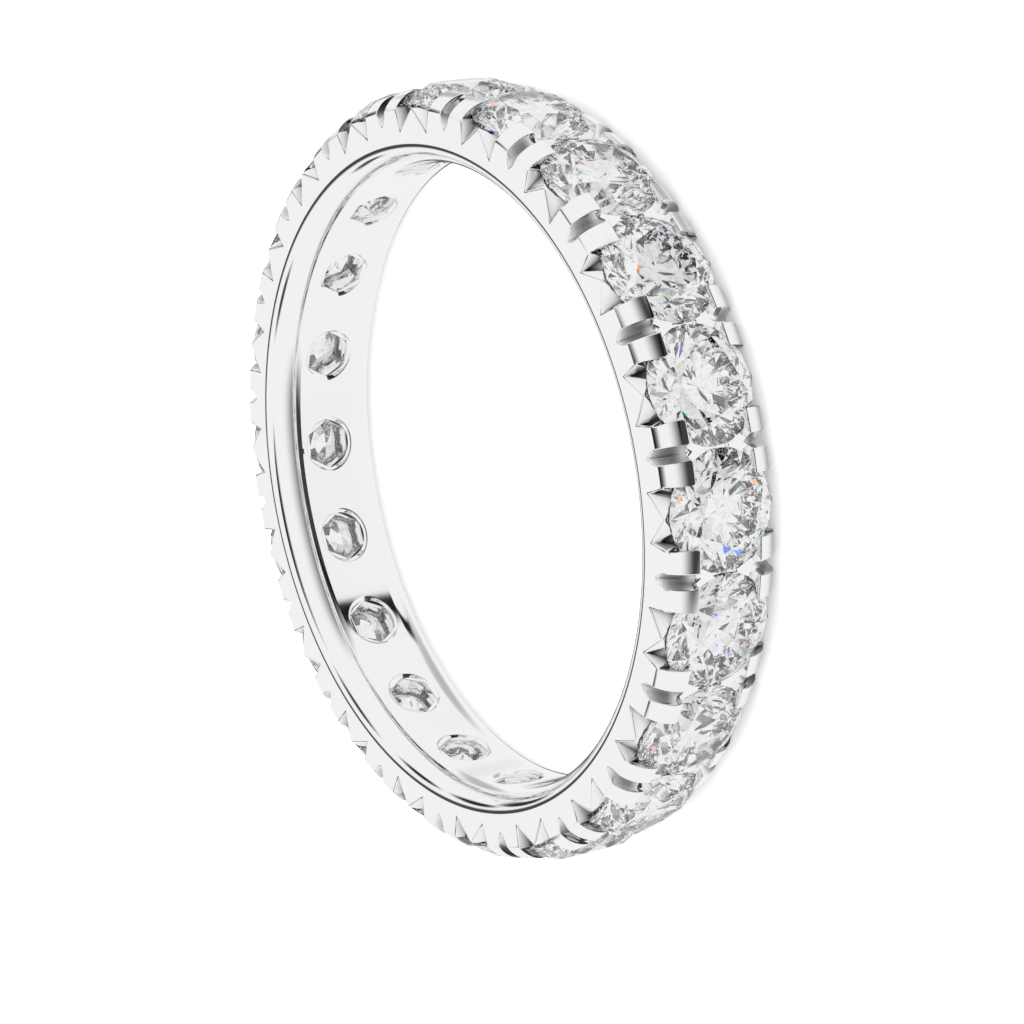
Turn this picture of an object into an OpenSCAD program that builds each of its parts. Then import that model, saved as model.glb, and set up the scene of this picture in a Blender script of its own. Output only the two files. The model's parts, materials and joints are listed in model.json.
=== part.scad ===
// Full eternity ring: one row of round brilliants held by cut-down prongs
// The ring lies on one side face: its axis is +Z and the floor is z = 0
// A stone's own frame has x along its axis, away from the finger, and z along the ring's axis

/* [Band] */
// Inner diameter, the finger's size
finger_d = 16.5; // [14:0.1:22]
// Metal left between each side face and the edge of the stones
rim = 0.13; // [0.11:0.01:0.3]
// Width of the rounded inner edge on each side
comfort_w = 0.85; // [0.7:0.01:1]
// Radius of the rounded inner edge
comfort_r = 1.0; // [0.95:0.01:1.2]
// Radius that blends the inner edge into the side face
edge_r = 0.5; // [0.4:0.01:0.6]

/* [Stones] */
// Diameter of a stone at its girdle
stone_d = 3.04; // [2.8:0.02:3.4]
// Smallest gap between the girdles of two neighbouring stones
stone_gap = 0.045; // [0.04:0.005:0.2]
// Thickness of the girdle
girdle_t = 0.07; // [0.06:0.01:0.09]
// Table width as a share of the stone's diameter
table_share = 0.57; // [0.53:0.01:0.62]
// Slope of the main crown facets, in degrees
crown_angle = 34; // [31:0.5:35]
// Slope of the main pavilion facets, in degrees
pavilion_angle = 40.8; // [39.5:0.1:42]
// Reach of the star facets from the table's edge towards the girdle
star_share = 0.5; // [0.4:0.01:0.6]
// Reach of the lower girdle facets from the girdle towards the point
lower_share = 0.77; // [0.7:0.01:0.85]
// Distance from the point of a stone down to the finger
culet_gap = 0.15; // [0.1:0.01:0.4]

/* [Prongs] */
// Length of a prong across the band, from the side face
prong_l = 0.744; // [0.6:0.01:0.8]
// Width of a prong along the band
prong_w = 0.56; // [0.48:0.01:0.62]
// Height of a prong's inner end over the metal between two stones
prong_h = 0.21; // [0.2:0.01:0.3]
// Radius of the prong's top, seen from the side of the ring
prong_top_r = 2.0; // [1.6:0.1:3]
// Slope of the prong's top at its inner end, in degrees
prong_slope = 15; // [12:1:18]
// Radius of the band's outer corner
corner_r = 0.22; // [0.15:0.01:0.3]
// Height of the metal between two stones over their girdles' level
web_h = 0.03; // [0.02:0.01:0.06]

/* [Cuts] */
// Width of the groove between two prongs
groove_w = 0.39; // [0.3:0.01:0.42]
// Depth of the groove at the side face, below the metal between two stones
groove_d = 0.6; // [0.5:0.01:0.7]
// Height over which the groove's walls curve up to its full width
groove_curve = 0.46; // [0.4:0.01:0.55]
// Rise of the groove's floor for each unit across the band
groove_rise = 0.69; // [0.6:0.01:0.8]
// Depth of the notch under a stone at the side face, below its girdle
notch_d = 0.65; // [0.55:0.01:0.75]
// Distance from the prong's wall to the bottom of the notch
notch_side = 0.18; // [0.12:0.01:0.25]
// Rise of the notch's floor for each unit across the band
notch_rise = 1.35; // [1.2:0.01:1.5]
// Depth of the ridge between two notches, below the stone's girdle
ridge_d = 0.05; // [0.045:0.005:0.08]

/* [Seats] */
// Width of the hexagonal hole behind a stone, across its corners
hole_d = 1.32; // [1.1:0.01:1.4]
// Diameter of the hole's round mouth inside the ring
mouth_d = 1.42; // [1.41:0.01:1.6]
// Clearance around a stone's girdle and under its pavilion
seat_gap = 0.04; // [0.03:0.005:0.06]
// Clearance between a stone's crown and the prongs
crown_gap = 0.05; // [0.04:0.005:0.06]
// Width of the slot between two seats, where the stones nearly touch
slot_w = 0.1; // [0.08:0.01:0.2]
// Length of that slot across the band
slot_l = 0.7; // [0.6:0.05:0.8]

/* [Hidden] */
$fn = 96;
// Facets around a brilliant and the angle between two of them
mains = 8;
main_step = 360 / mains;
half_step = main_step / 2;
quarter_step = main_step / 4;
// Past every surface that a cut goes through
over = 1;
// Where the turned band's seam lies between two stones, so that it runs through solid metal
seam_share = 0.31;

bore_r = finger_d / 2;
stone_r = stone_d / 2;
band_w = stone_d + 2 * rim;
half_w = band_w / 2;

// Heights of a brilliant over and under its girdle
table_r = stone_r * table_share;
crown_h = (stone_r - table_r) * tan(crown_angle);
pavilion_h = stone_r * tan(pavilion_angle);
star_r = table_r * cos(half_step) + star_share * (stone_r - table_r * cos(half_step));
lower_r = stone_r * (1 - lower_share);

// The ring's radius at the stones' girdles, and how many stones go round
girdle_r = bore_r + culet_gap + pavilion_h + girdle_t / 2;
stone_count = floor(180 / atan((stone_d + stone_gap) / 2 / girdle_r));
pitch = 360 / stone_count;

// Outer radius of the metal between two stones and of the prongs
web_r = girdle_r / cos(pitch / 2) + web_h;
prong_r = web_r + prong_h;
// Centres of the prong's top arc and of the corner arc, as radius and depth from the side face
top_c = [prong_r - prong_top_r * cos(prong_slope), prong_l + prong_top_r * sin(prong_slope)];
corner_c = [top_c.x + sqrt(pow(prong_top_r - corner_r, 2) - pow(top_c.y - corner_r, 2)), corner_r];
// Centres of the inner edge's arc and of its blend
comfort_c = [bore_r + comfort_r, comfort_w];
blend_c = [
    comfort_c.x - sqrt(pow(comfort_r - edge_r, 2) - pow(comfort_c.y - edge_r, 2)),
    edge_r
];

// Half width between the two prong walls that face each other over a stone
wall_t = (corner_c.x + corner_r) * sin(pitch / 2) - groove_w / 2 - prong_w;
notch_t = wall_t - notch_side;
notch_x = girdle_r - notch_d;
ridge_x = girdle_r - ridge_d;

function stone_name(i) = str("stone_", i < 10 ? "0" : "", i);

// A point of a brilliant at a radius, an angle and a height over its girdle plane
function on_stone(r, angle, h) = [r * cos(angle), r * sin(angle), h];
// Height of the main facets' cone of planes, halfway round between two of them
function crown_at(r) = (stone_r - r * cos(half_step)) * tan(crown_angle);
function pavilion_at(r) = (stone_r - r * cos(half_step)) * tan(pavilion_angle);
// Height that a girdle facet loses halfway between its two corners on the girdle
function scallop(r, h) =
    let (chord = stone_r * cos(quarter_step))
    (stone_r - chord) * h / (chord - r * cos(quarter_step));

// Points of an arc about a centre, from one angle to another
function arc(c, r, from, to, steps) =
    [for (i = [0:steps]) let (a = from + (to - from) * i / steps) c + r * [cos(a), sin(a)]];
function angle_of(v) = atan2(v.y, v.x);

// Cross-section of the band from one side face to its middle, as radius and depth
half_section = concat(
    [[bore_r, half_w]],
    arc(comfort_c, comfort_r, -180, angle_of(blend_c - comfort_c), 4),
    arc(blend_c, edge_r, angle_of(blend_c - comfort_c), -90, 3),
    arc(corner_c, corner_r, -90, angle_of(corner_c - top_c), 3),
    arc(top_c, prong_top_r, angle_of(corner_c - top_c), angle_of([prong_r, prong_l] - top_c), 3),
    [[web_r, prong_l], [web_r, half_w]]
);

// The band before its cuts: the section and its mirror image, turned round the axis
module blank() {
    far_side = [for (i = [len(half_section) - 2:-1:1])
        [half_section[i].x, band_w - half_section[i].y]];
    rotate([0, 0, pitch * seam_share]) rotate_extrude() polygon(concat(half_section, far_side));
}

// Repeats a cut of the lower side face on the upper one
module both_sides() {
    translate([0, 0, band_w]) mirror([0, 0, 1]) children();
    children();
}

// A straight cut into the lower side face: its floor starts at radius x and rises inwards,
// until it is depth further in, and the outline is as seen along the cut
module rising_cut(x, rise, depth) {
    slope = atan(rise);
    translate([x, 0, 0])
        rotate([0, slope - 90, 0])
            rotate([90, 0, 90])
                translate([0, 0, -over])
                    linear_extrude(depth / cos(slope) + over)
                        mirror([0, 1]) children();
}

// Pointed groove between two prongs, whose curved walls end straight
module groove() {
    flat = cos(atan(groove_rise));
    w = groove_w / 2;
    h = groove_curve * flat;
    top = (prong_r - web_r + groove_d) * flat;
    r = (w * w + h * h) / (2 * w);
    wall = concat(arc([w - r, h], r, -asin(h / r), 0, 3), [[w, top]]);
    other_wall = [for (i = [len(wall) - 1:-1:1]) [-wall[i].x, wall[i].y]];
    rising_cut(web_r - groove_d, groove_rise, groove_d / groove_rise + prong_h)
        polygon(concat(wall, other_wall));
}

// Two notches under a stone, with a ridge between them
module notches() {
    flat = cos(atan(notch_rise));
    ridge = (ridge_x - notch_x) * flat;
    top = notch_d * flat;
    half = [[notch_t, 0], [wall_t, top]];
    rising_cut(notch_x, notch_rise, notch_d / notch_rise)
        polygon([[0, ridge], half[0], half[1], [-half[1].x, top], [-notch_t, 0]]);
}

// What a stone needs along its axis: the hole's mouth, the seat and the room over its crown
module seat() {
    seat_r = stone_r + seat_gap;
    girdle_low = girdle_r - girdle_t / 2;
    crown_low = girdle_r + girdle_t / 2 + crown_gap - seat_gap * tan(crown_angle);
    mouth_r = mouth_d / 2;
    core_r = hole_d / 2 * cos(30) - seat_gap;
    rotate_extrude() polygon([
        [0, bore_r - mouth_r],
        [2 * mouth_r, bore_r - mouth_r],
        [core_r, bore_r + mouth_r - core_r],
        [core_r, girdle_low - (seat_r - core_r) * tan(pavilion_angle)],
        [seat_r, girdle_low],
        [seat_r, crown_low],
        [0, crown_low + seat_r * tan(crown_angle)]
    ]);
}

// Everything that makes room for one stone: its seat, the hole behind it and the gap over it
module stone_room() {
    translate([0, 0, half_w]) rotate([0, 90, 0]) {
        seat();
        translate([0, 0, bore_r - over])
            rotate([0, 0, 30]) cylinder(h = girdle_r - bore_r + over, d = hole_d, $fn = 6);
    }
    translate([ridge_x, -wall_t, -over])
        cube([prong_r - ridge_x + over, 2 * wall_t, band_w + 2 * over]);
}

// Slot where two stones nearly touch, so that no sliver of metal is left between their seats
module slot() {
    low = girdle_r / cos(pitch / 2) - girdle_t / 2 - 2 * seat_gap;
    translate([low, -slot_w / 2, half_w - slot_l / 2]) cube([prong_r - low + over, slot_w, slot_l]);
}

// The turned band with a slot between each two stones
module slotted_band() {
    difference() {
        blank();
        for (i = [1:stone_count]) rotate([0, 0, (i - 0.5) * pitch]) slot();
    }
}

// The band with the cuts for its first stones, made one stone after the other
module band_cut_for(stones) {
    if (stones == 0) {
        slotted_band();
    } else {
        difference() {
            band_cut_for(stones - 1);
            rotate([0, 0, (stones - 1) * pitch]) {
                stone_room();
                both_sides() notches();
            }
            rotate([0, 0, (stones - 0.5) * pitch]) both_sides() groove();
        }
    }
}

// The band and its setting, one piece of metal
module band() {
    color([0.88, 0.88, 0.9]) band_cut_for(stone_count);
}

// A round brilliant with its girdle plane at z = 0 and its table up
module brilliant() {
    g = girdle_t / 2;
    star_h = crown_at(star_r);
    lower_h = pavilion_at(lower_r);
    top_dip = scallop(star_r, star_h);
    low_dip = scallop(lower_r, lower_h);
    around = [0:mains - 1];
    ring = 4 * mains;
    // Rows of points from the table down to the culet
    table_row = [for (k = around) on_stone(table_r, k * main_step, g + crown_h)];
    star_row = [for (k = around) on_stone(star_r, k * main_step + half_step, g + star_h)];
    top_row = [for (k = [0:ring - 1])
        on_stone(stone_r, k * quarter_step, g - (k % 2) * top_dip)];
    low_row = [for (k = [0:ring - 1])
        on_stone(stone_r, k * quarter_step, -g + (k % 2) * low_dip)];
    lower_row = [for (k = around) on_stone(lower_r, k * main_step + half_step, -g - lower_h)];
    culet = [[0, 0, -g - pavilion_h]];
    // Where each row starts in the list of points
    star_at = mains;
    top_at = star_at + mains;
    low_at = top_at + ring;
    lower_at = low_at + ring;
    culet_at = lower_at + mains;
    table = [[for (k = around) mains - 1 - k]];
    stars = [for (k = around) [k, (k + 1) % mains, star_at + k]];
    kites = [for (k = around)
        [k, star_at + k, top_at + 4 * k, star_at + (k + mains - 1) % mains]];
    upper_halves = [for (k = around) each [
        [star_at + k, top_at + 4 * k + 2, top_at + 4 * k + 1, top_at + 4 * k],
        [star_at + k, top_at + (4 * k + 4) % ring, top_at + 4 * k + 3, top_at + 4 * k + 2]
    ]];
    girdle = [for (k = [0:ring - 1])
        [top_at + k, top_at + (k + 1) % ring, low_at + (k + 1) % ring, low_at + k]];
    lower_halves = [for (k = around) each [
        [lower_at + k, low_at + 4 * k, low_at + 4 * k + 1, low_at + 4 * k + 2],
        [lower_at + k, low_at + 4 * k + 2, low_at + 4 * k + 3, low_at + (4 * k + 4) % ring]
    ]];
    pavilion_mains = [for (k = around)
        [culet_at, lower_at + (k + mains - 1) % mains, low_at + 4 * k, lower_at + k]];
    polyhedron(
        points = concat(table_row, star_row, top_row, low_row, lower_row, culet),
        faces = concat(table, stars, kites, upper_halves, girdle, lower_halves, pavilion_mains)
    );
}

// Stone number i in its seat
module stone(i) {
    color([0.9, 0.95, 0.98])
        rotate([0, 0, (i - 1) * pitch])
            translate([girdle_r, 0, half_w])
                rotate([0, 90, 0])
                    brilliant();
}

band();
for (i = [1:stone_count])
    stone(i);
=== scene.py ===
"""Looks of a full eternity ring: the polished band with its cut-down prongs, and its round brilliants.

The ring lies on one side face. Pieces are modelled in millimetres, and brought to metres when they are
finished. A stone's own directions are: out from the finger, round the band, and along the ring's axis.
"""

import json
import logging
import math
from dataclasses import dataclass
from enum import Enum

import bmesh
import bpy
from mathutils import Matrix, Quaternion, Vector


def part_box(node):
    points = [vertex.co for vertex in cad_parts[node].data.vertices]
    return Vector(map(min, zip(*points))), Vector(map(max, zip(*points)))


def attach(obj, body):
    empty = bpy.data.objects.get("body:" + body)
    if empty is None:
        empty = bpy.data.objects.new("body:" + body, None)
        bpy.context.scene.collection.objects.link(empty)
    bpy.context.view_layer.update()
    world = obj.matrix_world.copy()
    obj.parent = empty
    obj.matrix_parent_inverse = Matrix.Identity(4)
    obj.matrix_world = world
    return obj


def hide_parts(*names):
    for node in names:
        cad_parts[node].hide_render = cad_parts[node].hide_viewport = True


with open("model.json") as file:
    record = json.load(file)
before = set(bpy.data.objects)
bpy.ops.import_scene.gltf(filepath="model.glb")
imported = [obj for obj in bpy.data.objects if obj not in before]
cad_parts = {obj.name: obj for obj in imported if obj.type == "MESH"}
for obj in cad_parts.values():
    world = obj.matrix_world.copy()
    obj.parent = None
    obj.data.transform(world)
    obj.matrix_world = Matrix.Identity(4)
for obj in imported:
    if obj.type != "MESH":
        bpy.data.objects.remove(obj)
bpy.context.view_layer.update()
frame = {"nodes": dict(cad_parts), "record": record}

MM = 0.001
OUT = Vector((1, 0, 0))
ROUND = Vector((0, 1, 0))
AXIS = Vector((0, 0, 1))
CLOSE = 0.0005
POLE = 90
WHITE = (1, 1, 1, 1)
BODY = "root"

log = logging.getLogger("ring")


class Slot(Enum):
    """The record's material slots."""

    METAL = "metal"
    STONES = "stones"


# Sizes, in millimetres


@dataclass(frozen=True)
class Stone:
    """A round brilliant: its size comes from the frame, its angles are its cut's."""

    diameter: float
    culet_x: float
    table_x: float
    girdle: float = 0.07
    crown_angle: float = math.radians(34)
    pavilion_angle: float = math.radians(40.8)

    @classmethod
    def from_frame(cls, node: str) -> "Stone":
        """Reads the size of the stone that lies on +X.

        Args:
            node: the CAD node of that stone.

        Returns:
            The stone's sizes in millimetres.
        """
        low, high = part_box(node)
        return cls(
            diameter=(high.y - low.y) / MM,
            culet_x=low.x / MM,
            table_x=high.x / MM,
        )

    @property
    def radius(self) -> float:
        """Radius at the girdle."""
        return self.diameter / 2

    @property
    def girdle_x(self) -> float:
        """Distance of the girdle's middle plane from the ring's axis."""
        return self.culet_x + self.radius * math.tan(self.pavilion_angle) + self.girdle / 2


@dataclass(frozen=True)
class BandSizes:
    """Section, prongs and cuts of the band, in a quarter of one stone's share of it.

    Radii are measured from the ring's axis and depths from the side face. A rise says how fast the floor
    of a cut climbs away from the axis as it runs in from the side face.
    """

    bore_r: float
    width: float
    stones: int
    stone: Stone
    comfort_w: float = 0.85
    comfort_r: float = 1.0
    edge_r: float = 0.5
    prong_l: float = 0.744
    prong_w: float = 0.56
    prong_h: float = 0.21
    prong_top_r: float = 0.9
    prong_slope: float = math.radians(2.3)
    corner_r: float = 0.04
    shoulder: float = 0.27
    web_h: float = 0.03
    groove_w: float = 0.39
    groove_d: float = 0.6
    groove_curve: float = 0.46
    groove_rise: float = 0.69
    notch_d: float = 0.65
    notch_side: float = 0.18
    notch_rise: float = 1.35
    ridge_d: float = 0.05
    hole_d: float = 1.32
    mouth_d: float = 1.42
    seat_gap: float = 0.01
    crown_gap: float = 0.012
    slot_w: float = 0.1
    slot_l: float = 0.7
    rim_bevel: float = 0.028

    @property
    def pitch(self) -> float:
        """Angle between two stones."""
        return 2 * math.pi / self.stones

    @property
    def half_w(self) -> float:
        """Half of the band's width, where the stones' axes lie."""
        return self.width / 2

    @property
    def web_r(self) -> float:
        """Radius of the metal between two stones."""
        return self.stone.girdle_x / math.cos(self.pitch / 2) + self.web_h

    @property
    def prong_r(self) -> float:
        """Radius of a prong's inner end."""
        return self.web_r + self.prong_h

    @property
    def top_centre(self) -> tuple[float, float]:
        """Centre of the prong's top arc, as radius and depth."""
        return (
            self.prong_r - self.prong_top_r * math.cos(self.prong_slope),
            self.prong_l + self.prong_top_r * math.sin(self.prong_slope),
        )

    @property
    def corner_centre(self) -> tuple[float, float]:
        """Centre of the outer corner's arc.

        Returns:
            Its radius and depth.
        """
        x, z = self.top_centre
        reach = self.prong_top_r - self.corner_r
        return (x + math.sqrt(reach**2 - (z - self.corner_r) ** 2), self.corner_r)

    @property
    def comfort_centre(self) -> tuple[float, float]:
        """Centre of the rounded inner edge, as radius and depth."""
        return (self.bore_r + self.comfort_r, self.comfort_w)

    @property
    def blend_centre(self) -> tuple[float, float]:
        """Centre of the arc that blends the inner edge into the side face.

        Returns:
            Its radius and depth.
        """
        x, z = self.comfort_centre
        reach = self.comfort_r - self.edge_r
        return (x - math.sqrt(reach**2 - (z - self.edge_r) ** 2), self.edge_r)

    @property
    def wall_y(self) -> float:
        """Half the distance between two prong walls that face each other over a stone."""
        outer = self.prong_r - self.shoulder
        return outer * math.sin(self.pitch / 2) - self.groove_w / 2 - self.prong_w

    @property
    def ridge_x(self) -> float:
        """Height of the ridge between two notches."""
        return self.stone.girdle_x - self.ridge_d


# Modelling by hand


def deselect() -> None:
    """Leaves edit mode and selects nothing."""
    if bpy.context.object is not None and bpy.context.object.mode != "OBJECT":
        bpy.ops.object.mode_set(mode="OBJECT")
    bpy.ops.object.select_all(action="DESELECT")


def take(piece: bpy.types.Object) -> None:
    """Makes a piece the only selected and the active one.

    Args:
        piece: the object to work on.
    """
    deselect()
    piece.select_set(True)
    bpy.context.view_layer.objects.active = piece


def edit(piece: bpy.types.Object, how: str = "SELECT") -> None:
    """Opens a piece in edit mode.

    Args:
        piece: the object to open.
        how: SELECT or DESELECT, for all of its mesh.
    """
    take(piece)
    bpy.ops.object.mode_set(mode="EDIT")
    bpy.ops.mesh.select_all(action=how)


def bake_place(piece: bpy.types.Object) -> None:
    """Moves a piece's place, turn and scale into its mesh."""
    take(piece)
    bpy.ops.object.transform_apply(location=True, rotation=True, scale=True)


class Pen:
    """Draws an outline by extruding and spinning one vertex on a plane."""

    def __init__(self, origin: Vector, right: Vector, up: Vector, start: tuple[float, float]) -> None:
        """Puts the pen down.

        Args:
            origin: the plane's zero point.
            right: direction of the first coordinate.
            up: direction of the second one.
            start: the outline's first point.
        """
        self.origin, self.right, self.up = origin, right.normalized(), up.normalized()
        self.at = self._place(start)
        deselect()
        bpy.ops.mesh.primitive_plane_add(size=1, location=self.at)
        self.piece = bpy.context.object
        bake_place(self.piece)
        edit(self.piece)
        bpy.ops.mesh.merge(type="CENTER")

    def _place(self, point: tuple[float, float]) -> Vector:
        """A point of the plane in space."""
        return self.origin + point[0] * self.right + point[1] * self.up

    def line(self, *points: tuple[float, float]) -> "Pen":
        """Draws straight lines.

        Args:
            points: the corners to go through, in order.

        Returns:
            The pen itself.
        """
        for point in points:
            goal = self._place(point)
            bpy.ops.mesh.extrude_region_move(TRANSFORM_OT_translate={"value": goal - self.at})
            self.at = goal
        return self

    def arc(self, centre: tuple[float, float], angle: float, steps: int) -> "Pen":
        """Draws an arc.

        Args:
            centre: the arc's centre.
            angle: how far it turns, from the first coordinate's direction towards the second's.
            steps: how many edges it gets.

        Returns:
            The pen itself.
        """
        pivot = self._place(centre)
        normal = self.right.cross(self.up)
        bpy.ops.mesh.spin(steps=steps, angle=-angle, center=pivot, axis=normal)
        self.at = pivot + Matrix.Rotation(angle, 3, normal) @ (self.at - pivot)
        return self

    def close(self) -> bpy.types.Object:
        """Joins the outline's ends and fills it.

        Returns:
            The flat piece, all selected in edit mode.
        """
        bpy.ops.mesh.select_all(action="SELECT")
        bpy.ops.mesh.remove_doubles(threshold=CLOSE)
        bpy.ops.mesh.edge_face_add()
        return self.piece

    def stop(self) -> bpy.types.Object:
        """Ends an open outline.

        Returns:
            The wire, all selected in edit mode.
        """
        bpy.ops.mesh.select_all(action="SELECT")
        return self.piece


def merge(piece: bpy.types.Object) -> None:
    """Merges doubles.

    Args:
        piece: the piece to merge.
    """
    edit(piece)
    bpy.ops.mesh.remove_doubles(threshold=CLOSE)
    bpy.ops.object.mode_set(mode="OBJECT")


def tidy_mesh(piece: bpy.types.Object) -> None:
    """Merges doubles and turns all faces outwards.

    Args:
        piece: the piece to tidy.
    """
    merge(piece)
    edit(piece)
    bpy.ops.mesh.normals_make_consistent(inside=False)
    bpy.ops.object.mode_set(mode="OBJECT")


def extrude(piece: bpy.types.Object, way: Vector) -> bpy.types.Object:
    """Makes a flat piece a prism.

    Args:
        piece: the piece, all selected in edit mode.
        way: direction and length.

    Returns:
        The closed piece.
    """
    bpy.ops.mesh.extrude_region_move(TRANSFORM_OT_translate={"value": way})
    tidy_mesh(piece)
    return piece


def cut(piece: bpy.types.Object, tool: bpy.types.Object) -> None:
    """Takes a tool's volume out of a piece and removes the tool.

    Args:
        piece: what is cut.
        tool: the closed solid that cuts.
    """
    take(piece)
    modifier = piece.modifiers.new("cut", "BOOLEAN")
    modifier.operation = "DIFFERENCE"
    modifier.solver = "EXACT"
    modifier.object = tool
    bpy.ops.object.modifier_apply(modifier=modifier.name)
    bpy.data.objects.remove(tool)


def halve(piece: bpy.types.Object, point: Vector, normal: Vector) -> None:
    """Keeps the part of a piece that lies behind a plane, open at the cut.

    Args:
        piece: the piece.
        point: a point of the plane.
        normal: the side that goes.
    """
    edit(piece)
    bpy.ops.mesh.bisect(plane_co=point, plane_no=normal, clear_outer=True, threshold=CLOSE)
    bpy.ops.object.mode_set(mode="OBJECT")


# The band


@dataclass
class Band:
    """Band and setting, one piece of metal: a quarter of a stone's share, mirrored and copied round.

    The cutting tools reach past the metal by over. Rims sharper than sharp are rounded, but for those
    that a stone hides: from hidden_x above the bore to hidden_over above the seat, further than hidden_r
    from the stone's axis and deeper than hidden_depth under the side face.
    """

    size: BandSizes
    over: float = 0.6
    comfort_steps: int = 14
    blend_steps: int = 8
    corner_steps: int = 3
    top_steps: int = 9
    groove_steps: int = 6
    turn_step: float = math.radians(1.5)
    seat_steps: int = 72
    sharp: float = math.radians(24)
    rim_steps: int = 2
    hidden_x: float = 0.7
    hidden_over: float = 0.05
    hidden_r: float = 0.5
    hidden_depth: float = 0.25
    smooth: float = math.radians(35)
    same_place: float = 0.004
    same_turn: float = math.radians(12)

    def _section(self) -> bpy.types.Object:
        """Draws the band's section from the middle of the bore round to the middle of the web.

        Returns:
            The flat section, all selected in edit mode.
        """
        s = self.size
        blend = Vector(s.blend_centre) - Vector(s.comfort_centre)
        corner = Vector(s.corner_centre) - Vector(s.top_centre)
        end = Vector((s.prong_r, s.prong_l)) - Vector(s.top_centre)
        inner_turn = math.atan2(blend.y, blend.x) % (2 * math.pi) - math.pi
        corner_turn = math.atan2(corner.y, corner.x)
        middle = s.half_w + self.over
        pen = Pen(Vector(), OUT, AXIS, (s.bore_r, middle)).line((s.bore_r, s.comfort_w))
        pen.arc(s.comfort_centre, inner_turn, self.comfort_steps)
        pen.arc(s.blend_centre, math.pi / 2 - inner_turn, self.blend_steps)
        pen.line((s.corner_centre[0], 0))
        pen.arc(s.corner_centre, math.pi / 2 + corner_turn, self.corner_steps)
        pen.arc(s.top_centre, math.atan2(end.y, end.x) - corner_turn, self.top_steps)
        pen.line((s.web_r, s.prong_l), (s.web_r, middle))
        return pen.close()

    def _blank(self) -> bpy.types.Object:
        """Turns the section round the axis, past both ends of the share.

        Returns:
            The closed solid before any cut.
        """
        blank = self._section()
        start = -math.ceil(self.size.pitch / 4 / self.turn_step)
        steps = math.ceil(self.size.pitch / 2 / self.turn_step) - 2 * start
        bpy.ops.transform.rotate(
            value=-start * self.turn_step, orient_axis="Z", center_override=(0, 0, 0)
        )
        bpy.ops.mesh.spin(steps=steps, angle=-steps * self.turn_step, center=(0, 0, 0), axis=AXIS)
        tidy_mesh(blank)
        return blank

    def _groove(self) -> bpy.types.Object:
        """The pointed groove between two prongs.

        Returns:
            The solid that cuts it.
        """
        s = self.size
        way = Vector((s.groove_rise, 0, 1)).normalized()
        flat = way.z
        w, h = s.groove_w / 2, s.groove_curve * flat
        top = (s.prong_r - s.web_r + s.groove_d) * flat + self.over
        r = (w * w + h * h) / (2 * w)
        origin = Vector((s.web_r - s.groove_d, 0, 0)) - self.over * way
        pen = Pen(origin, ROUND, Vector((1, 0, -s.groove_rise)), (-w, top)).line((-w, h))
        pen.arc((r - w, h), math.asin(h / r), self.groove_steps)
        pen.arc((w - r, h), math.asin(h / r), self.groove_steps)
        pen.line((w, top))
        depth = s.groove_d / s.groove_rise + s.prong_h
        tool = extrude(pen.close(), way * (depth / flat + self.over))
        tool.rotation_euler.z = s.pitch / 2
        bake_place(tool)
        return tool

    def _notches(self) -> bpy.types.Object:
        """The two notches under a stone, with a ridge between them.

        Returns:
            The solid that cuts them.
        """
        s = self.size
        way = Vector((s.notch_rise, 0, 1)).normalized()
        flat = way.z
        ridge, top = (s.notch_d - s.ridge_d) * flat, s.notch_d * flat
        low = s.wall_y - s.notch_side
        origin = Vector((s.stone.girdle_x - s.notch_d, 0, 0)) - self.over * way
        pen = Pen(origin, ROUND, Vector((1, 0, -s.notch_rise)), (0, ridge))
        pen.line((low, 0), (s.wall_y, top), (-s.wall_y, top), (-low, 0))
        return extrude(pen.close(), way * (s.notch_d / s.notch_rise / flat + self.over))

    def _seat(self) -> bpy.types.Object:
        """The turned seat, from the hole's chamfered mouth to the room over the crown.

        Returns:
            The solid that cuts it.
        """
        s = self.size
        seat_r = s.stone.radius + s.seat_gap
        low = s.stone.girdle_x - s.stone.girdle / 2
        drop = s.seat_gap * math.tan(s.stone.crown_angle)
        high = s.stone.girdle_x + s.stone.girdle / 2 + s.crown_gap - drop
        mouth = s.mouth_d / 2
        rim = s.hole_d / 2 + s.seat_gap / 2
        core = s.hole_d / 2 * math.cos(math.pi / 6) - s.seat_gap
        pen = Pen(AXIS * s.half_w, ROUND, OUT, (0, s.bore_r - mouth))
        pen.line(
            (2 * mouth, s.bore_r - mouth),
            (rim, s.bore_r + mouth - rim),
            (core, s.bore_r + mouth - rim),
            (core, low - (seat_r - core) * math.tan(s.stone.pavilion_angle)),
            (seat_r, low),
            (seat_r, high),
            (0, high + seat_r * math.tan(s.stone.crown_angle)),
        )
        tool = pen.stop()
        bpy.ops.mesh.spin(
            steps=self.seat_steps, angle=2 * math.pi, center=AXIS * s.half_w, axis=OUT
        )
        tidy_mesh(tool)
        return tool

    def _hole(self) -> bpy.types.Object:
        """The hexagonal hole behind a stone.

        Returns:
            The solid that cuts it.
        """
        s = self.size
        depth = s.stone.girdle_x - s.bore_r + self.over
        deselect()
        bpy.ops.mesh.primitive_cylinder_add(
            vertices=6,
            radius=s.hole_d / 2,
            depth=depth,
            location=(s.stone.girdle_x - depth / 2, 0, s.half_w),
            rotation=(0, math.pi / 2, 0),
        )
        tool = bpy.context.object
        bake_place(tool)
        return tool

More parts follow.
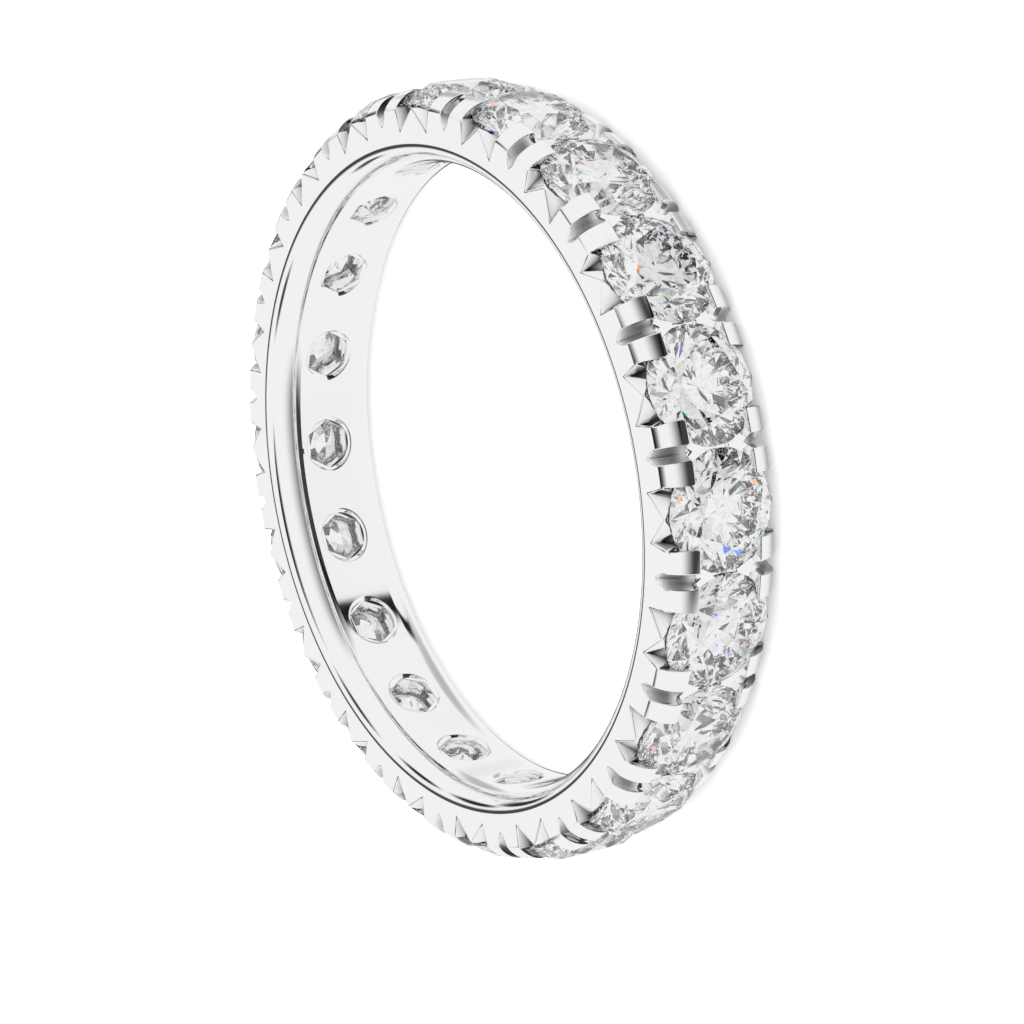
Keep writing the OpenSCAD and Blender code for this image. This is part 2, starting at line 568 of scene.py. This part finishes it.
    def _box(self, x: float, y: float, z: tuple[float, float]) -> bpy.types.Object:
        """A box that reaches past the prongs.

        Args:
            x: the radius where it starts.
            y: half its width round the band.
            z: where it starts and ends along the axis.

        Returns:
            The box.
        """
        top = self.size.prong_r + self.over
        deselect()
        bpy.ops.mesh.primitive_cube_add(size=1, location=((x + top) / 2, 0, sum(z) / 2))
        tool = bpy.context.object
        tool.scale = (top - x, 2 * y, z[1] - z[0])
        bake_place(tool)
        return tool

    def _slot(self) -> bpy.types.Object:
        """The slot where two stones nearly touch.

        Returns:
            The solid that cuts it.
        """
        s = self.size
        low = s.stone.girdle_x / math.cos(s.pitch / 2) - s.stone.girdle / 2 - 2 * s.seat_gap
        tool = self._box(low, s.slot_w / 2, (s.half_w - s.slot_l / 2, s.half_w + s.slot_l / 2))
        tool.rotation_euler.z = s.pitch / 2
        bake_place(tool)
        return tool

    def _soften(self, piece: bpy.types.Object) -> None:
        """Rounds the rims of all cuts that show.

        Args:
            piece: the share of the band with all its cuts.
        """
        s = self.size
        edit(piece, "DESELECT")
        bpy.ops.mesh.select_mode(type="EDGE")
        bpy.ops.mesh.edges_select_sharp(sharpness=self.sharp)
        mesh = bmesh.from_edit_mesh(piece.data)
        low = s.bore_r + self.hidden_x
        high = s.stone.girdle_x + s.crown_gap + self.hidden_over
        seat_r = s.stone.radius + 2 * s.seat_gap
        for edge in mesh.edges:
            middle = (edge.verts[0].co + edge.verts[1].co) / 2
            from_axis = math.hypot(middle.y, middle.z - s.half_w)
            in_seat = low < middle.x < high and self.hidden_r < from_axis < seat_r
            if not edge.is_convex or in_seat and middle.z > self.hidden_depth:
                edge.select_set(False)
        bmesh.update_edit_mesh(piece.data)
        bpy.ops.mesh.bevel(
            offset=s.rim_bevel, segments=self.rim_steps, affect="EDGES", clamp_overlap=False
        )
        bpy.ops.object.mode_set(mode="OBJECT")

    def _share(self) -> bpy.types.Object:
        """Cuts one quarter of a stone's share of the band and mirrors it to the whole share.

        Returns:
            The share, open where it meets the next ones.
        """
        s = self.size
        share = self._blank()
        cut(share, self._slot())
        cut(share, self._seat())
        cut(share, self._hole())
        cut(share, self._box(s.ridge_x, s.wall_y, (-self.over, s.width)))
        cut(share, self._notches())
        cut(share, self._groove())
        tidy_mesh(share)
        self._soften(share)
        turned = Matrix.Rotation(s.pitch / 2, 3, AXIS) @ ROUND
        halve(share, Vector(), turned)
        halve(share, Vector(), -ROUND)
        halve(share, AXIS * s.half_w, AXIS)
        deselect()
        bpy.ops.object.empty_add(location=AXIS * s.half_w)
        middle = bpy.context.object
        take(share)
        mirror = share.modifiers.new("mirror", "MIRROR")
        mirror.use_axis = (False, True, True)
        mirror.mirror_object = middle
        mirror.merge_threshold = CLOSE
        bpy.ops.object.modifier_apply(modifier=mirror.name)
        bpy.data.objects.remove(middle)
        return share

    def build(self) -> bpy.types.Object:
        """Models the whole band.

        Returns:
            The band in metres, its place in its mesh.
        """
        band = self._share()
        band.name = "band_metal"
        edit(band)
        turn = self.size.pitch * (self.size.stones - 1)
        bpy.ops.mesh.spin(
            steps=self.size.stones - 1, angle=turn, center=(0, 0, 0), axis=AXIS, dupli=True
        )
        merge(band)
        band.scale = (MM, MM, MM)
        bake_place(band)
        bpy.ops.object.shade_smooth_by_angle(angle=self.smooth)
        self._true_normals(band)
        log.info("band: %d faces", len(band.data.polygons))
        return band

    def dress(self, band: bpy.types.Object) -> None:
        """Polishes the band.

        Args:
            band: the finished band.
        """
        PolishedGold(middle=self.size.half_w * MM).dress(band)

    def _true_normals(self, band: bpy.types.Object) -> None:
        """Shades what was turned by its true curve, where cuts left the mesh uneven.

        Args:
            band: the finished band in metres.
        """
        s = self.size
        mesh = band.data
        arcs = [
            (s.comfort_centre, s.comfort_r),
            (s.blend_centre, s.edge_r),
            (s.corner_centre, s.corner_r),
            (s.top_centre, s.prong_top_r),
        ]
        normals = []
        for face in mesh.polygons:
            flat = face.normal
            for corner in face.loop_indices:
                point = mesh.vertices[mesh.loops[corner].vertex_index].co / MM
                lower = point.z < s.half_w
                depth = point.z if lower else s.width - point.z
                r = math.hypot(point.x, point.y)
                out = Vector((point.x, point.y, 0)) / r
                up = -AXIS if lower else AXIS
                found = mesh.corner_normals[corner].vector.copy()
                best = math.cos(self.same_turn)
                ways = [-out, up, out] if self._on_line(r, depth) else []
                for centre, radius in arcs:
                    reach = Vector((r - centre[0], depth - centre[1]))
                    if abs(reach.length - radius) < self.same_place:
                        way = (out * reach.x - up * reach.y).normalized()
                        ways.append(way)
                for way in ways:
                    if flat.dot(way) > best:
                        best, found = flat.dot(way), way
                normals.append(found)
        mesh.normals_split_custom_set(normals)

    def _on_line(self, r: float, depth: float) -> bool:
        """Says whether a point lies on the bore, the side face or the web.

        Args:
            r: its distance from the ring's axis.
            depth: its depth under the side face.

        Returns:
            True on one of the three.
        """
        s = self.size
        places = (r - s.bore_r, depth, r - s.web_r)
        return any(abs(place) < self.same_place for place in places)


@dataclass
class StoneRow:
    """The row of round brilliants, which keep the CAD's solids."""

    names: list[str]

    def dress(self) -> None:
        """Gives every stone its finish."""
        for name in self.names:
            Diamond().dress(frame["nodes"][name])
        log.info("stones: %d", len(self.names))


# Finishes


class Number:
    """A shader's number: an expression on it adds the Math nodes."""

    def __init__(self, graph: "Graph", socket: bpy.types.NodeSocket) -> None:
        """Wraps a socket of a graph."""
        self.graph, self.socket = graph, socket

    def _math(self, operation: str, first: object, second: object) -> "Number":
        """Adds a Math node for two operands."""
        node = self.graph.node("ShaderNodeMath", {"operation": operation}, {0: first, 1: second})
        return Number(self.graph, node.outputs[0])

    def __add__(self, other: object) -> "Number":
        """Sum."""
        return self._math("ADD", self, other)

    def __radd__(self, other: object) -> "Number":
        """Sum, from the right."""
        return self._math("ADD", other, self)

    def __sub__(self, other: object) -> "Number":
        """Difference."""
        return self._math("SUBTRACT", self, other)

    def __rsub__(self, other: object) -> "Number":
        """Difference, from the right."""
        return self._math("SUBTRACT", other, self)

    def __mul__(self, other: object) -> "Number":
        """Product."""
        return self._math("MULTIPLY", self, other)

    def __rmul__(self, other: object) -> "Number":
        """Product, from the right."""
        return self._math("MULTIPLY", other, self)


class Graph:
    """Adds nodes to a material's or the world's tree."""

    def __init__(self, tree: bpy.types.NodeTree) -> None:
        """Empties a tree and takes it over."""
        self.tree = tree
        tree.nodes.clear()

    def node(
        self, kind: str, settings: dict | None = None, inputs: dict | None = None
    ) -> bpy.types.Node:
        """Adds one node.

        Args:
            kind: the node's type.
            settings: its settings, set first.
            inputs: values, sockets or numbers by input name or index.

        Returns:
            The node.
        """
        node = self.tree.nodes.new(kind)
        for key, setting in (settings or {}).items():
            setattr(node, key, setting)
        for key, given in (inputs or {}).items():
            given = given.socket if isinstance(given, Number) else given
            if isinstance(given, bpy.types.NodeSocket):
                self.tree.links.new(given, node.inputs[key])
            else:
                node.inputs[key].default_value = given
        return node

    def between(self, number: object, low: float, high: float) -> Number:
        """A smooth step.

        Args:
            number: what is measured.
            low: where the step starts, at 0.
            high: where it ends, at 1.

        Returns:
            The step's height.
        """
        settings = {"interpolation_type": "SMOOTHSTEP"}
        node = self.node(
            "ShaderNodeMapRange", settings, {"Value": number, "From Min": low, "From Max": high}
        )
        return Number(self, node.outputs["Result"])

    def along(self, way: bpy.types.NodeSocket, axis: Vector) -> Number:
        """A direction's cosine against an axis."""
        node = self.node("ShaderNodeVectorMath", {"operation": "DOT_PRODUCT"}, {0: way, 1: axis})
        return Number(self, node.outputs["Value"])

    def noise(self, scale: float, detail: float = 2.0, stretch: tuple = (1, 1, 1)) -> Number:
        """Noise on the piece's own coordinates.

        Args:
            scale: spots a metre.
            detail: octaves.
            stretch: scale along each axis.

        Returns:
            The noise, 0 to 1.
        """
        place = self.node("ShaderNodeTexCoord").outputs["Object"]
        turned = self.node("ShaderNodeMapping", {}, {"Vector": place, "Scale": stretch})
        node = self.node(
            "ShaderNodeTexNoise", {}, {"Vector": turned.outputs[0], "Scale": scale, "Detail": detail}
        )
        return Number(self, node.outputs["Fac"])

    def blend(self, share: object, first: object, second: object) -> bpy.types.NodeSocket:
        """Mixes two colours by a share."""
        node = self.node("ShaderNodeMix", {"data_type": "RGBA"}, {0: share, 6: first, 7: second})
        return node.outputs[2]

    def glow(self, colour: object, level: object) -> bpy.types.NodeSocket:
        """A background of a colour and a brightness."""
        return self.node("ShaderNodeBackground", {}, {"Color": colour, "Strength": level}).outputs[0]

    def surface(self, inputs: dict) -> None:
        """Ends the tree in a Principled shader.

        Args:
            inputs: its sockets' values.
        """
        shader = self.node("ShaderNodeBsdfPrincipled", {}, inputs)
        self.node("ShaderNodeOutputMaterial", {}, {"Surface": shader.outputs[0]})


class Finish:
    """A procedural material."""

    name = "finish"

    def wire(self, graph: Graph) -> None:
        """Builds the material's nodes."""
        raise NotImplementedError

    def dress(self, piece: bpy.types.Object) -> None:
        """Gives a piece this finish alone.

        Args:
            piece: the object to dress.
        """
        material = bpy.data.materials.get(self.name)
        if material is None:
            material = bpy.data.materials.new(self.name)
            material.use_nodes = True
            self.wire(Graph(material.node_tree))
        piece.data.materials.clear()
        piece.data.materials.append(material)


@dataclass(frozen=True)
class PolishedGold(Finish):
    """White gold under rhodium, hand polished. Lengths are in metres.

    Recesses get painted shade: the base colour darkens over the two values of recess_open, which say how
    open a spot is. That sets in over the two of cut_from, measured from the ring's axis, and of
    side_from, measured from the middle of the band's width.
    """

    middle: float
    name: str = "polished_white_gold"
    tone: tuple = (0.96, 0.96, 0.963, 1)
    cloud_tone: tuple = (0.93, 0.933, 0.94, 1)
    cloud_scale: float = 350
    hairline_scale: float = 2500
    hairline_detail: float = 4
    hairline_stretch: tuple = (1, 1, 0.2)
    hairline_depth: float = 0.00001
    hairline_strength: float = 0.02
    polish: float = 0.06
    haze: float = 0.03
    # colour of the painted shade in the recesses
    painted_recess_shade_tone: tuple = (0.12, 0.12, 0.125, 1)
    recess_reach: float = 0.0006
    recess_open: tuple = (0.28, 0.9)
    recess_rays: int = 5
    cut_from: tuple = (0.009, 0.0093)
    side_from: tuple = (0.0009, 0.0012)

    def wire(self, graph: Graph) -> None:
        """Clouds the colour and the polish a little, and paints shade into the cuts' floors, where
        ambient occlusion finds them closed in.

        Args:
            graph: the material's nodes.
        """
        cloud = graph.noise(self.cloud_scale)
        hairlines = graph.noise(self.hairline_scale, self.hairline_detail, self.hairline_stretch)
        rough = self.polish + cloud * hairlines * self.haze
        # painted shade: ambient occlusion darkens the base colour where the metal is closed in
        recess = graph.node(
            "ShaderNodeAmbientOcclusion", {"samples": self.recess_rays}, {"Distance": self.recess_reach}
        )
        outside = graph.between(recess.outputs["AO"], *self.recess_open)
        place = graph.node("ShaderNodeTexCoord").outputs["Object"]
        flat = graph.node(
            "ShaderNodeVectorMath", {"operation": "MULTIPLY"}, {0: place, 1: OUT + ROUND}
        )
        from_axis = graph.node("ShaderNodeVectorMath", {"operation": "LENGTH"}, {0: flat.outputs[0]})
        depth = Number(graph, graph.node("ShaderNodeSeparateXYZ", {}, {0: place}).outputs["Z"])
        from_middle = graph.node("ShaderNodeMath", {"operation": "ABSOLUTE"}, {0: depth - self.middle})
        near_side = graph.between(from_middle.outputs[0], *self.side_from)
        # painted shade in the cuts near the side faces, darker the less open a spot is
        cut = graph.between(from_axis.outputs["Value"], *self.cut_from) * near_side * (1 - outside)
        bright = graph.blend(cloud, self.tone, self.cloud_tone)
        bump = graph.node(
            "ShaderNodeBump",
            {},
            {"Height": hairlines, "Strength": self.hairline_strength, "Distance": self.hairline_depth},
        )
        graph.surface({
            # base colour with the painted shade of the recesses mixed in
            "Base Color": graph.blend(cut, bright, self.painted_recess_shade_tone),
            "Metallic": 1.0,
            "Roughness": rough,
            "Normal": bump.outputs[0],
        })


@dataclass(frozen=True)
class Diamond(Finish):
    """Clear diamond."""

    name: str = "diamond"
    tone: tuple = (1, 1, 1, 1)
    cloud_tone: tuple = (0.985, 0.992, 1, 1)
    cloud_scale: float = 600
    refraction: float = 2.417

    def wire(self, graph: Graph) -> None:
        """A trace of cool cloud in a clear stone.

        Args:
            graph: the material's nodes.
        """
        graph.surface({
            "Base Color": graph.blend(graph.noise(self.cloud_scale), self.tone, self.cloud_tone),
            "Roughness": 0.0,
            "IOR": self.refraction,
            "Transmission Weight": 1.0,
        })


@dataclass(frozen=True)
class Paper(Finish):
    """Matt white studio paper."""

    name: str = "studio_paper"
    tone: tuple = (0.93, 0.93, 0.93, 1)
    fibre_tone: tuple = (0.91, 0.91, 0.91, 1)
    fibre_scale: float = 900
    matt: float = 0.9
    glow: float = 0.35

    def wire(self, graph: Graph) -> None:
        """A faint fibre in white paper.

        Args:
            graph: the material's nodes.
        """
        graph.surface({
            "Base Color": graph.blend(graph.noise(self.fibre_scale), self.tone, self.fibre_tone),
            "Roughness": self.matt,
            "Emission Color": WHITE,
            "Emission Strength": self.glow,
        })


# The studio


def toward(azimuth: float, elevation: float) -> Vector:
    """A direction from its two angles in degrees."""
    a, e = math.radians(azimuth), math.radians(elevation)
    return Vector((math.cos(e) * math.cos(a), math.cos(e) * math.sin(a), math.sin(e)))


def rise(elevation: float) -> float:
    """The sine of an elevation in degrees, which stays between the poles."""
    return math.sin(math.radians(max(min(elevation, POLE), -POLE)))


@dataclass(frozen=True)
class Panel:
    """A round field of the studio's sky with its own brightness. Angles are in degrees."""

    azimuth: float
    elevation: float
    radius: float
    level: float
    soft: float = 3

    def mask(self, graph: Graph, way: bpy.types.NodeSocket) -> Number:
        """Says how far a direction lies inside the field.

        Args:
            graph: the world's nodes.
            way: the direction.

        Returns:
            1 inside, 0 outside.
        """
        facing = graph.along(way, toward(self.azimuth, self.elevation))
        outer = math.cos(math.radians(self.radius + self.soft))
        inner = math.cos(math.radians(max(self.radius - self.soft, 0)))
        return graph.between(facing, outer, inner)


@dataclass(frozen=True)
class Strip(Panel):
    """A field that also lies between two parallels about a pole of its own."""

    pole: tuple[float, float] = (0, POLE)
    low: float = 0
    high: float = POLE
    low_soft: float = 1
    high_soft: float = 1

    def mask(self, graph: Graph, way: bpy.types.NodeSocket) -> Number:
        """Says how far a direction lies inside the strip.

        Args:
            graph: the world's nodes.
            way: the direction.

        Returns:
            1 inside, 0 outside.
        """
        height = graph.along(way, toward(*self.pole))
        low, soft = self.low, self.low_soft
        share = super().mask(graph, way) * graph.between(height, rise(low - soft), rise(low + soft))
        if self.high < POLE:
            high, soft = self.high, self.high_soft
            share = share * (1 - graph.between(height, rise(high - soft), rise(high + soft)))
        return share


METAL_FIELDS = [
    Strip(azimuth=-80, elevation=53, radius=35, level=0.01, soft=1.5, low=71, low_soft=12),
    Strip(azimuth=-97, elevation=0, radius=48, level=0.05, soft=12, low=-28.5, high=14, high_soft=24),
    Strip(
        azimuth=-62, elevation=-27, radius=42, level=0.01, soft=5,
        pole=(62, 51), low=-42.5, high=-36, low_soft=1, high_soft=2,
    ),
    Strip(
        azimuth=84, elevation=33, radius=60, level=0.06,
        pole=(84, 33), low=69, high=80.5, low_soft=3, high_soft=1,
    ),
    Panel(azimuth=16, elevation=57, radius=6, level=0.03, soft=4),
    Panel(azimuth=31, elevation=37, radius=6, level=0.02, soft=3),
    Panel(azimuth=45, elevation=22, radius=7, level=0.02, soft=3),
    Panel(azimuth=57, elevation=8, radius=7, level=0.02, soft=3),
    Panel(azimuth=68, elevation=-5, radius=6, level=0.02, soft=3),
    Panel(azimuth=77, elevation=-17, radius=5, level=0.05, soft=3),
    Panel(azimuth=84, elevation=-31, radius=9, level=0.1, soft=4),
    Panel(azimuth=119, elevation=16, radius=5, level=0.03, soft=3),
    Panel(azimuth=152, elevation=55, radius=6, level=0.03, soft=4),
    Panel(azimuth=0, elevation=-52, radius=12, level=0.5, soft=10),
    Panel(azimuth=40, elevation=-20, radius=8, level=0.5, soft=6),
]
STONE_FIELDS = [
    Strip(azimuth=-80, elevation=60, radius=28, level=0.0, soft=1.5, low=55, low_soft=5),
    Panel(azimuth=-60, elevation=35, radius=9, level=0.0, soft=1),
    Panel(azimuth=-140, elevation=20, radius=9, level=0.0, soft=1),
    Panel(azimuth=-100, elevation=-10, radius=7, level=0.0, soft=1),
    Panel(azimuth=-20, elevation=-15, radius=8, level=0.0, soft=1),
    Panel(azimuth=-10, elevation=40, radius=8, level=0.0, soft=1),
    Panel(azimuth=-170, elevation=-15, radius=8, level=0.0, soft=1),
    Panel(azimuth=-120, elevation=50, radius=7, level=0.0, soft=1),
    Panel(azimuth=-150, elevation=-45, radius=8, level=0.0, soft=1),
    Panel(azimuth=-60, elevation=-45, radius=8, level=0.0, soft=1),
]
FIRE = {
    (0.02, 0.12, 0.95, 1): [(-122, 42), (8, 8), (-100, -38)],
    (0.8, 0.04, 0.5, 1): [(-75, -25), (120, 20)],
    (0.0, 0.6, 0.55, 1): [(-45, 12), (175, 5)],
    (0.9, 0.25, 0.02, 1): [(-160, 0), (60, -10), (-84, 8)],
    (0.2, 0.12, 0.85, 1): [(-130, -5), (-10, 50)],
    (0.15, 0.8, 0.15, 1): [(-118, -30), (-35, 38)],
}


@dataclass
class Studio:
    """Floor, light and camera. The camera's place is in millimetres and its angles are in degrees."""

    floor_side: float = 3.0
    look_at: tuple[float, float, float] = (-1.13, -0.022, 1.434)
    distance: float = 100.385
    azimuth: float = -95.87
    elevation: float = 33.03
    roll: float = -101.18
    lens: float = 134.86
    film: float = 36
    nearest: float = 0.001
    sky_level: float = 0.93
    paper_light: float = 1.7
    stone_light: float = 0.88
    fire_light: float = 1.6
    fire_radius: float = 2.6
    fire_soft: float = 1
    bounces: int = 20

    def camera(self) -> None:
        """Places the camera as the photograph was taken."""
        back = toward(self.azimuth, self.elevation)
        data = bpy.data.cameras.new("camera")
        data.lens = self.lens
        data.sensor_width = self.film
        data.clip_start = self.nearest
        camera = bpy.data.objects.new("camera", data)
        bpy.context.scene.collection.objects.link(camera)
        camera.location = (Vector(self.look_at) + self.distance * back) * MM
        camera.rotation_mode = "QUATERNION"
        roll = Quaternion(AXIS, math.radians(self.roll))
        camera.rotation_quaternion = back.to_track_quat("Z", "Y") @ roll
        bpy.context.scene.camera = camera

    def floor(self) -> None:
        """Lays the plain pale floor."""
        deselect()
        bpy.ops.mesh.primitive_plane_add(size=self.floor_side)
        floor = bpy.context.object
        floor.name = "floor"
        Paper().dress(floor)
        floor.visible_glossy = False
        floor.visible_transmission = False

    def _fields(
        self, graph: Graph, way: bpy.types.NodeSocket, level: float | Number, fields: list[Panel]
    ) -> Number:
        """Lays fields over a plain sky.

        Args:
            graph: the world's nodes.
            way: the direction.
            level: the plain sky's brightness.
            fields: the panels in it.

        Returns:
            The brightness in each direction.
        """
        for field in fields:
            level = level + field.mask(graph, way) * (field.level - level)
        return level

    def _stone_sky(self, graph: Graph, way: bpy.types.NodeSocket) -> bpy.types.NodeSocket:
        """The sky that light from a stone sees, with small coloured fields for its fire.

        Args:
            graph: the world's nodes.
            way: the direction.

        Returns:
            The background's socket.
        """
        level = self._fields(graph, way, self.stone_light, STONE_FIELDS)
        colour = WHITE
        for tint, places in FIRE.items():
            spots = 0
            for azimuth, elevation in places:
                spot = Panel(azimuth, elevation, self.fire_radius, self.fire_light, self.fire_soft)
                spots = spot.mask(graph, way) + spots
            colour = graph.blend(spots, colour, tint)
            level = level + spots * (self.fire_light - level)
        return graph.glow(colour, level)

    def light(self) -> None:
        """Surrounds the ring with a white studio that has a few dark openings."""
        world = bpy.data.worlds.new("studio")
        world.use_nodes = True
        bpy.context.scene.world = world
        graph = Graph(world.node_tree)
        way = graph.node("ShaderNodeTexCoord").outputs["Generated"]
        path = graph.node("ShaderNodeLightPath").outputs
        metal_sky = graph.glow(WHITE, self._fields(graph, way, self.sky_level, METAL_FIELDS))
        stone_sky = self._stone_sky(graph, way)
        paper_sky = graph.glow(WHITE, self.paper_light)
        plain = Number(graph, path["Is Camera Ray"]) + Number(graph, path["Is Diffuse Ray"])
        mirrored = graph.node(
            "ShaderNodeMixShader", {}, {0: path["Is Transmission Ray"], 1: metal_sky, 2: stone_sky}
        )
        whole = graph.node("ShaderNodeMixShader", {}, {0: plain, 1: mirrored.outputs[0], 2: paper_sky})
        graph.node("ShaderNodeOutputWorld", {}, {"Surface": whole.outputs[0]})
        scene = bpy.context.scene
        scene.view_settings.view_transform = "Standard"
        scene.cycles.max_bounces = self.bounces
        scene.cycles.glossy_bounces = self.bounces
        scene.cycles.transmission_bounces = self.bounces


def main() -> None:
    """Builds the ring and its studio."""
    logging.basicConfig(level=logging.INFO, format="%(message)s")
    mounts = {mount["name"]: mount for mount in frame["record"]["mounts"]}
    subparts = frame["record"]["subparts"]
    names = sorted(part["node"] for part in subparts if part["material_slot"] == Slot.STONES.value)
    low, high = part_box("band")
    sizes = BandSizes(
        bore_r=mounts["finger_bore"]["dims"]["r_mm"],
        width=(high.z - low.z) / MM,
        stones=len(names),
        stone=Stone.from_frame(names[0]),
    )
    maker = Band(sizes)
    band = maker.build()
    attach(band, BODY)
    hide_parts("band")
    maker.dress(band)
    StoneRow(names).dress()
    studio = Studio()
    studio.camera()
    studio.floor()
    studio.light()
    log.info("studio: %d fields in the sky", len(METAL_FIELDS) + len(STONE_FIELDS))


if __name__ == "__main__":
    main()
